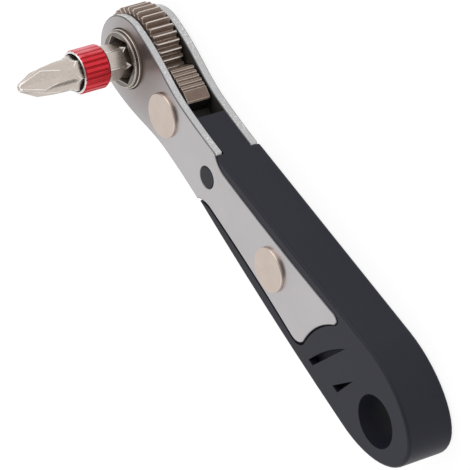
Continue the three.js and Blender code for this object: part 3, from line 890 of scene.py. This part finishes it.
# %% Sleeve
RIBS = 24
CHAMFER = 0.42
CHAMFER_IN = 0.32
BORE = 3.75
MOUTH = 0.06
DIP_FROM, DIP_FULL, DIP_UNTIL = 0.52, 0.7, 0.85
LANDS = (0, 0.04, 0.1, 0.28, 0.46, 0.52, 0.56, 0.61, 0.66, 0.7, 0.775, 0.85, 0.89, 0.94)
low, high = (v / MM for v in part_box("bit_sleeve"))


def step(value, start, end):
    share = min(max((value - start) / (end - start), 0), 1)
    return share * share * (3 - 2 * share)


def knurl(phase):
    dip = step(phase, DIP_FROM, DIP_FULL) * (1 - step(phase, DIP_UNTIL, 1))
    return SLEEVE_CREST - (SLEEVE_CREST - SLEEVE_GROOVE) * dip


CUTS = 8
shares = [i / CUTS for i in range(CUTS + 1)]
rise = [(SLEEVE_CREST - CHAMFER_IN * (1 - share), CHAMFER * share) for share in shares]
rows = [(cap, low.z + z, True) for cap, z in rise]
rows += [(cap, high.z - z, True) for cap, z in reversed(rise)]
rows += [(BORE + MOUTH, high.z, False), (BORE, high.z - 2 * MOUTH, False), (BORE, low.z, False)]
turns = [(rib + phase, knurl(phase)) for rib in range(RIBS) for phase in LANDS]
skin = bmesh.new()
rings = []
for cap, z, ribbed in rows:
    ring = []
    for turn, wall in turns:
        angle = 2 * math.pi * turn / RIBS
        r = min(cap, wall) if ribbed else cap
        out = Vector((r * math.cos(angle), r * math.sin(angle), z))
        ring.append(skin.verts.new((DRIVE + out) * MM))
    rings.append(ring)
RED, BARE = range(2)
FACED = 0.14
STEEP = 0.35
for ring, beyond in zip(rings, rings[1:] + rings[:1]):
    for a, b, c, d in zip(ring, ring[1:] + ring[:1], beyond[1:] + beyond[:1], beyond):
        skin.faces.new((a, b, c, d))
bmesh.ops.recalc_face_normals(skin, faces=skin.faces)
for f in skin.faces:
    middle = f.calc_center_median() / MM
    bored = (middle - DRIVE).xy.length < BORE + MOUTH
    faced = abs(f.normal.z) > STEEP and min(middle.z - low.z, high.z - middle.z) < FACED
    f.material_index = BARE if bored or faced else RED
level(piece("knurled_sleeve", skin, "bit_sleeve", "anodised", anodised, bare))

# %% [markdown]
# ## Floor, world and lamps
# The tool lies on a plain pale floor in soft studio light. The picture's ground is white, and more
# lamps would wash out the tool, so the floor shows mostly white to the camera and to reflections,
# and keeps enough of its own shading for a soft shadow. The world is a plain pale sky, dimmer high
# up on one side, as a studio is behind the photographer, so that the steel isn't washed out by it.
# Two large soft lamps give the metal something to reflect.

# %% Stage
FLOOR_HALF = 3
WHITE = 1.08
WHITE_SHARE = 0.82
SKY = 0.95
skin = bmesh.new()
signs = (-1, -1), (1, -1), (1, 1), (-1, 1)
skin.faces.new([skin.verts.new((x * FLOOR_HALF, y * FLOOR_HALF, 0)) for x, y in signs])
mesh = bpy.data.meshes.new("floor")
skin.to_mesh(mesh)
skin.free()
floor = bpy.data.objects.new("floor", mesh)
scene.collection.objects.link(floor)
floor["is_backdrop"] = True

paper = finish("white paper")
fleck = paper.noise(paper.place(), per_mm=0.05)
pale = paper.mix(fleck, (0.86, 0.86, 0.86), (0.9, 0.9, 0.9))
shaded = paper.node("ShaderNodeBsdfDiffuse", None, {"Color": pale})
white = paper.node("ShaderNodeEmission", None, {"Strength": WHITE})
kinds = "Camera", "Glossy", "Transmission"
to_camera, glossy, through = (paper.node("ShaderNodeLightPath", out=f"Is {kind} Ray") for kind in kinds)
seen = WHITE_SHARE * (to_camera + glossy + through)
share = paper.node("ShaderNodeMath", {"operation": "MINIMUM"}, {0: seen, 1: WHITE_SHARE})
paper.shown(paper.node("ShaderNodeMixShader", None, {0: share, 1: shaded, 2: white}))
mesh.materials.append(paper.owner)

world = Finish(bpy.data.worlds.new("studio"))
way = world.node("ShaderNodeTexCoord", out="Generated")
side = world.dot(way, back)
height = world.node("ShaderNodeSeparateXYZ", None, {0: way}, out="Z")
dim = world.between(side, 0.4, 0.85) * world.between(height, 0.15, 0.45)
sky = world.mix(dim, (1, 1, 1), (0.3, 0.3, 0.31))
world.node("ShaderNodeOutputWorld", None, {
    "Surface": world.node("ShaderNodeBackground", None, {"Color": sky, "Strength": SKY}),
})
scene.world = world.owner


def lamp(name, azimuth, elevation, distance, size, power):
    """A square soft lamp that looks at the tool from a direction given as the camera's is."""
    data = bpy.data.lights.new(name, "AREA")
    data.shape = "SQUARE"
    data.size = size
    data.energy = power
    obj = bpy.data.objects.new(name, data)
    a, e = math.radians(azimuth), math.radians(elevation)
    way = Vector((math.sin(a) * math.cos(e), -math.cos(a) * math.cos(e), math.sin(e)))
    obj.location = way * distance
    obj.rotation_euler = (-way).to_track_quat("-Z", "Y").to_euler()
    obj.visible_camera = False
    scene.collection.objects.link(obj)


lamp("key", azimuth=215, elevation=38, distance=1.0, size=1.1, power=3.6)
lamp("fill", azimuth=60, elevation=55, distance=1.2, size=0.9, power=1.4)
scene.view_settings.view_transform = "Standard"
print("floor", 2 * FLOOR_HALF, "m wide, sky strength", SKY)

# %% [markdown]
# ## Measuring the result
# A dressed piece must not stand out of its solid, because the solids are what other parts are fitted
# to. So the box of the solids and the box of the finished tool are both measured, and how far the
# tool grows past the solids is printed. Broken edges only take material away, so the two boxes should
# agree.

# %% Sizes and the end
low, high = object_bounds()
print("grown past the solids by", max(max(cad_low - low), max(high - cad_high)) / MM, "mm")
